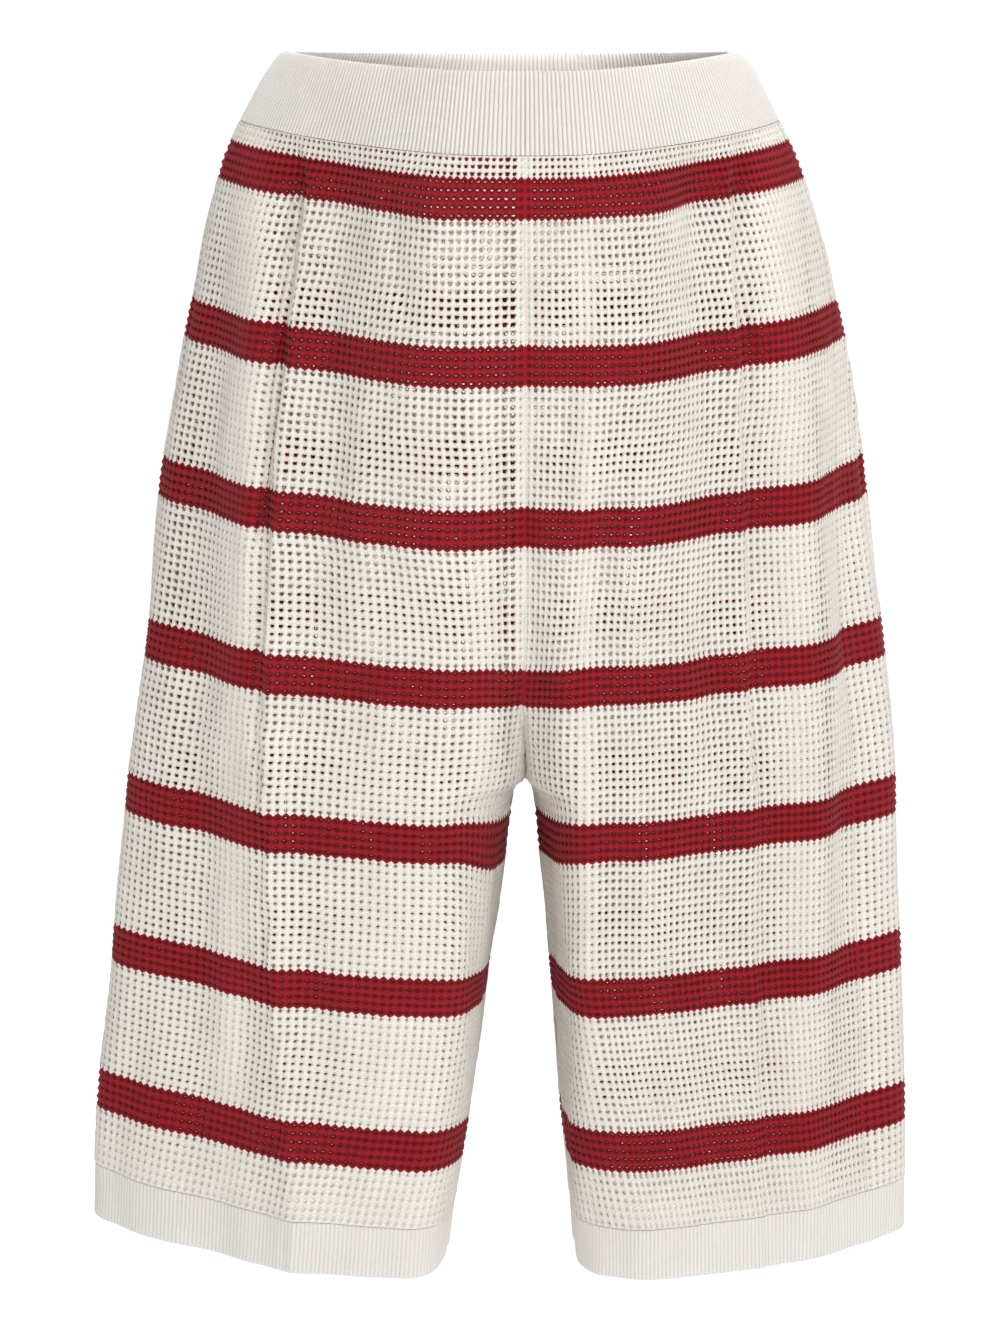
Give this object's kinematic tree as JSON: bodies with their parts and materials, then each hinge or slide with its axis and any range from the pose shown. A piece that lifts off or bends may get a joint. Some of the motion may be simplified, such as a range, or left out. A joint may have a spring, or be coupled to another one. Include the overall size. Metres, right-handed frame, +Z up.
{
  "type": "knitted bermuda shorts",
  "caption": "Pull-on bermuda shorts in open mesh knit with wide red stripes, a ribbed waistband and ribbed hem cuffs, filled out and hollow.",
  "frame": {"origin": "middle of the waist opening, level with the top of the waistband at the front and sides", "axes": "+Z up, -Y to the wearer's front, +X to the wearer's left"},
  "size_m": [0.4199, 0.2088, 0.6159],
  "materials": {
    "mesh_knit": "matte open mesh knit, cream with seven red stripes",
    "rib_knit": "matte fine rib knit, cream"
  },
  "bodies": {
    "root": {"waistband": "rib_knit", "panel_front_right": "mesh_knit", "panel_front_left": "mesh_knit", "panel_back_right": "mesh_knit", "panel_back_left": "mesh_knit", "cuff_right": "rib_knit", "cuff_left": "rib_knit"}
  },
  "joints": []
}
